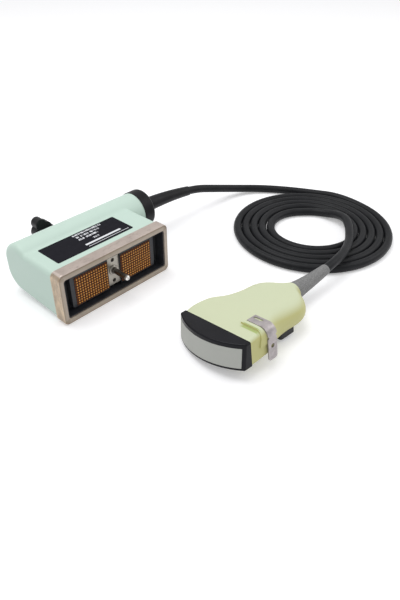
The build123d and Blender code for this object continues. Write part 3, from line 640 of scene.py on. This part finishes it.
def cablePoints(values):
    points = list(leadPoints)
    turns = values["lastTurn"] - values["firstTurn"]
    steps = round(turns * values["pointsPerTurn"])
    swell = 1 + values["swellShare"] * (1 / math.cos(math.pi / values["pointsPerTurn"]) - 1)
    height = values["diameter"] / 2
    for step in range(steps + 1):
        turn = values["firstTurn"] + turns * step / steps
        tuck = max(0, (turn - values["tuckTurn"]) / (values["lastTurn"] - values["tuckTurn"]))
        radius = values["coilRadius"] - values["coilPitch"] * turn - values["tuck"] * tuck**2
        degrees = values["coilAngle"] - 360 * turn
        points.append(roundCoil(values, radius * swell, degrees, height))
    for degrees, radius, rise in tailPoints:
        points.append(roundCoil(values, radius, degrees, rise))
    return points + probeEnd


def addCable(values):
    curve = bpy.data.curves.new("cable", "CURVE")
    curve.dimensions = "3D"
    spline = curve.splines.new("NURBS")
    points = cablePoints(values)
    spline.points.add(len(points) - 1)
    for point, place in zip(spline.points, points):
        point.co = (*(value * millimetre for value in place), 1)
    spline.order_u = 3
    spline.use_endpoint_u = True
    spline.resolution_u = values["smoothness"]
    curve.bevel_depth = values["diameter"] / 2 * millimetre
    curve.bevel_resolution = values["smoothness"]
    curve.use_fill_caps = True
    cable = bpy.data.objects.new("cable", curve)
    scene.collection.objects.link(cable)
    curve.materials.append(finishes["cable_jacket"])
    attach(cable, "root")
    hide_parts("cable_lead", "cable_coil", "cable_tail")


addCable(cableRoute)
print("cable laid")


# The probe's bracket: bent sheet with a slot along its level strip and a hole in its leg
bracketLook = {  # mm in the handle's frame
    "front": 15.8,  # back from the probe's nose
    "width": 9.4,
    "thickness": 1.2,
    "inner": 17.0,  # from the probe's middle to the strip's upper end
    "side": 36.6,  # from the probe's middle to the inside of its leg
    "top": 24.3,  # its underside above the handle's frame
    "leg": 27.6,  # down from that underside
    "bend": 6.0,  # inner radius
    "slot": (6.4, 5.8, 9.0, 2.5),  # middle from the front and from the end, length, width
    "hole": (15.3, 1.8),  # drop below the top, radius
    "notch": (7.2, 1.1),  # drop below the top, radius
    "footRound": 2.6,
    "edge": 0.15,
    "lap": 0.3,  # how far the flat pieces reach into the bend
    "arcSteps": 12,
}


def arcPoints(middle, radius, start, end, steps):
    angles = [math.radians(start + (end - start) * step / steps) for step in range(steps + 1)]
    return [(middle[0] + radius * math.cos(a), middle[1] + radius * math.sin(a)) for a in angles]


def sheetMesh(values, rings):
    # A flat piece of the sheet with its holes, in mm
    curve = bpy.data.curves.new("sheetOutline", "CURVE")
    curve.dimensions = "2D"
    curve.fill_mode = "BOTH"
    curve.extrude = values["thickness"] / 2 - values["edge"]
    curve.bevel_depth = values["edge"]
    curve.offset = -values["edge"]
    for ring in rings:
        spline = curve.splines.new("POLY")
        spline.points.add(len(ring) - 1)
        for point, (across, up) in zip(spline.points, ring):
            point.co = (across, up, 0, 1)
        spline.use_cyclic_u = True
    outline = bpy.data.objects.new("sheetOutline", curve)
    mesh = bpy.data.meshes.new_from_object(outline)
    bpy.data.objects.remove(outline)
    return mesh


def topSheet(values):
    front, width, steps = values["front"], values["width"], values["arcSteps"]
    start, end = -values["inner"], values["bend"] - values["side"] - values["lap"]
    fromFront, fromEnd, length, slotWidth = values["slot"]
    radius = slotWidth / 2
    across, near = front + fromFront, start - fromEnd + length / 2 - radius
    slot = arcPoints((across, near), radius, 0, 180, steps)
    slot += arcPoints((across, near - length + slotWidth), radius, 180, 360, steps)
    edge = [(front, start), (front, end), (front + width, end), (front + width, start)]
    mesh = sheetMesh(values, (edge, slot))
    mesh.transform(Matrix.Translation((0, 0, values["top"] + values["thickness"] / 2)))
    return mesh


def legSheet(values):
    front, back, steps = values["front"], values["front"] + values["width"], values["arcSteps"]
    high = values["top"] - values["bend"] + values["lap"]
    low = values["top"] - values["leg"]
    footRound = values["footRound"]
    notchDrop, notch = values["notch"]
    holeDrop, holeRadius = values["hole"]
    notchHeight = values["top"] - notchDrop
    edge = [(front, high)]
    edge += arcPoints((front, notchHeight), notch, 90, -90, steps)
    edge += arcPoints((front + footRound, low + footRound), footRound, 180, 270, steps)
    edge += arcPoints((back - footRound, low + footRound), footRound, 270, 360, steps)
    edge += arcPoints((back, notchHeight), notch, 270, 90, steps)
    edge += [(back, high)]
    middle = ((front + back) / 2, values["top"] - holeDrop)
    mesh = sheetMesh(values, (edge, arcPoints(middle, holeRadius, 0, 330, steps)))
    mesh.transform(Matrix.Rotation(math.radians(90), 4, "X"))
    mesh.transform(Matrix.Translation((0, -values["side"] - values["thickness"] / 2, 0)))
    return mesh


def bendMesh(values):
    middle = (values["bend"] - values["side"], values["top"] - values["bend"])
    steps = 2 * values["arcSteps"]
    inside = arcPoints(middle, values["bend"], 90, 180, steps)
    outside = arcPoints(middle, values["bend"] + values["thickness"], 90, 180, steps)
    front, back = values["front"], values["front"] + values["width"]
    corners, faces = [], []
    for within, beyond in zip(inside, outside):
        corners += [(front, *within), (back, *within), (back, *beyond), (front, *beyond)]
    for step in range(steps):
        for side in range(4):
            first, second = 4 * step + side, 4 * step + (side + 1) % 4
            faces.append((first, second, second + 4, first + 4))
    mesh = bpy.data.meshes.new("bend")
    mesh.from_pydata(corners, [], faces)
    return mesh


def addBracket(values):
    joined = bmesh.new()
    for mesh in (topSheet(values), bendMesh(values), legSheet(values)):
        joined.from_mesh(mesh)
    bmesh.ops.recalc_face_normals(joined, faces=joined.faces)
    joined.transform(Matrix.Scale(millimetre, 4) @ handleFrame)
    mesh = bpy.data.meshes.new("guideBracket")
    joined.to_mesh(mesh)
    joined.free()
    mesh.materials.append(finishes["bracket_sheet"])
    bracket = bpy.data.objects.new("guideBracket", mesh)
    scene.collection.objects.link(bracket)
    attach(bracket, "root")
    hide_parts("guide_bracket")


addBracket(bracketLook)
print("bracket bent")


# White table, soft light from above and the white room that the glossy pieces show
stageLook = {  # sizes and places in metres
    "floorSize": 6.0,
    "floorTone": (236, 236, 238),
    "floorRoughness": 0.9,
    "floorShine": 0.1,
    "lift": 0.3,  # glow that takes the floor up to white
    "roomLight": 0.62,  # 1 is white
    "keyPower": 9.5,  # W
    "keySize": 1.0,
    "keyPlace": (-0.05, 0.35, 1.35),
    "fillPower": 3.0,
    "fillSize": 0.8,
    "fillPlace": (1.0, -0.6, 0.9),
    "aim": (0.12, -0.02, 0.02),
}


def seenRays(tree):
    # 1 for camera, mirror and see-through rays
    path = tree.nodes.new("ShaderNodeLightPath")
    total = path.outputs["Is Camera Ray"]
    for ray in ("Is Glossy Ray", "Is Transmission Ray"):
        added = tree.nodes.new("ShaderNodeMath")
        added.operation = "MAXIMUM"
        tree.links.new(total, added.inputs[0])
        tree.links.new(path.outputs[ray], added.inputs[1])
        total = added.outputs[0]
    return total


def addFloor(values):
    half = values["floorSize"] / 2
    mesh = bpy.data.meshes.new("tableTop")
    corners = [(-half, -half, 0), (half, -half, 0), (half, half, 0), (-half, half, 0)]
    mesh.from_pydata(corners, [], [(0, 1, 2, 3)])
    floor = bpy.data.objects.new("tableTop", mesh)
    scene.collection.objects.link(floor)
    material = bpy.data.materials.new("tableWhite")
    material.use_nodes = True
    tree = material.node_tree
    shader = tree.nodes["Principled BSDF"]
    shader.inputs["Base Color"].default_value = paint(*values["floorTone"])
    shader.inputs["Roughness"].default_value = values["floorRoughness"]
    shader.inputs["Specular IOR Level"].default_value = values["floorShine"]
    glow = tree.nodes.new("ShaderNodeEmission")
    level = tree.nodes.new("ShaderNodeMath")
    level.operation = "MULTIPLY"
    tree.links.new(seenRays(tree), level.inputs[0])
    level.inputs[1].default_value = values["lift"]
    tree.links.new(level.outputs[0], glow.inputs["Strength"])
    both = tree.nodes.new("ShaderNodeAddShader")
    tree.links.new(shader.outputs[0], both.inputs[0])
    tree.links.new(glow.outputs[0], both.inputs[1])
    tree.links.new(both.outputs[0], tree.nodes["Material Output"].inputs["Surface"])
    mesh.materials.append(material)


def addWorld(values):
    world = bpy.data.worlds.new("whiteRoom")
    scene.world = world
    world.use_nodes = True
    tree = world.node_tree
    background = tree.nodes["Background"]
    background.inputs["Color"].default_value = (1, 1, 1, 1)
    path = tree.nodes.new("ShaderNodeLightPath")
    level = tree.nodes.new("ShaderNodeMapRange")
    level.inputs["To Min"].default_value = values["roomLight"]
    level.inputs["To Max"].default_value = 1.0
    tree.links.new(path.outputs["Is Camera Ray"], level.inputs["Value"])
    tree.links.new(level.outputs["Result"], background.inputs["Strength"])


def addSoftbox(name, place, size, power, aim):
    lamp = bpy.data.lights.new(name, "AREA")
    lamp.shape = "SQUARE"
    lamp.size = size
    lamp.energy = power
    box = bpy.data.objects.new(name, lamp)
    scene.collection.objects.link(box)
    box.location = place
    box.rotation_euler = (Vector(place) - Vector(aim)).to_track_quat("Z", "Y").to_euler()


addFloor(stageLook)
addWorld(stageLook)
for lampName in ("key", "fill"):
    addSoftbox(
        lampName + "Softbox",
        stageLook[lampName + "Place"],
        stageLook[lampName + "Size"],
        stageLook[lampName + "Power"],
        stageLook["aim"],
    )
scene.view_settings.view_transform = "Standard"
print("table and lights set")
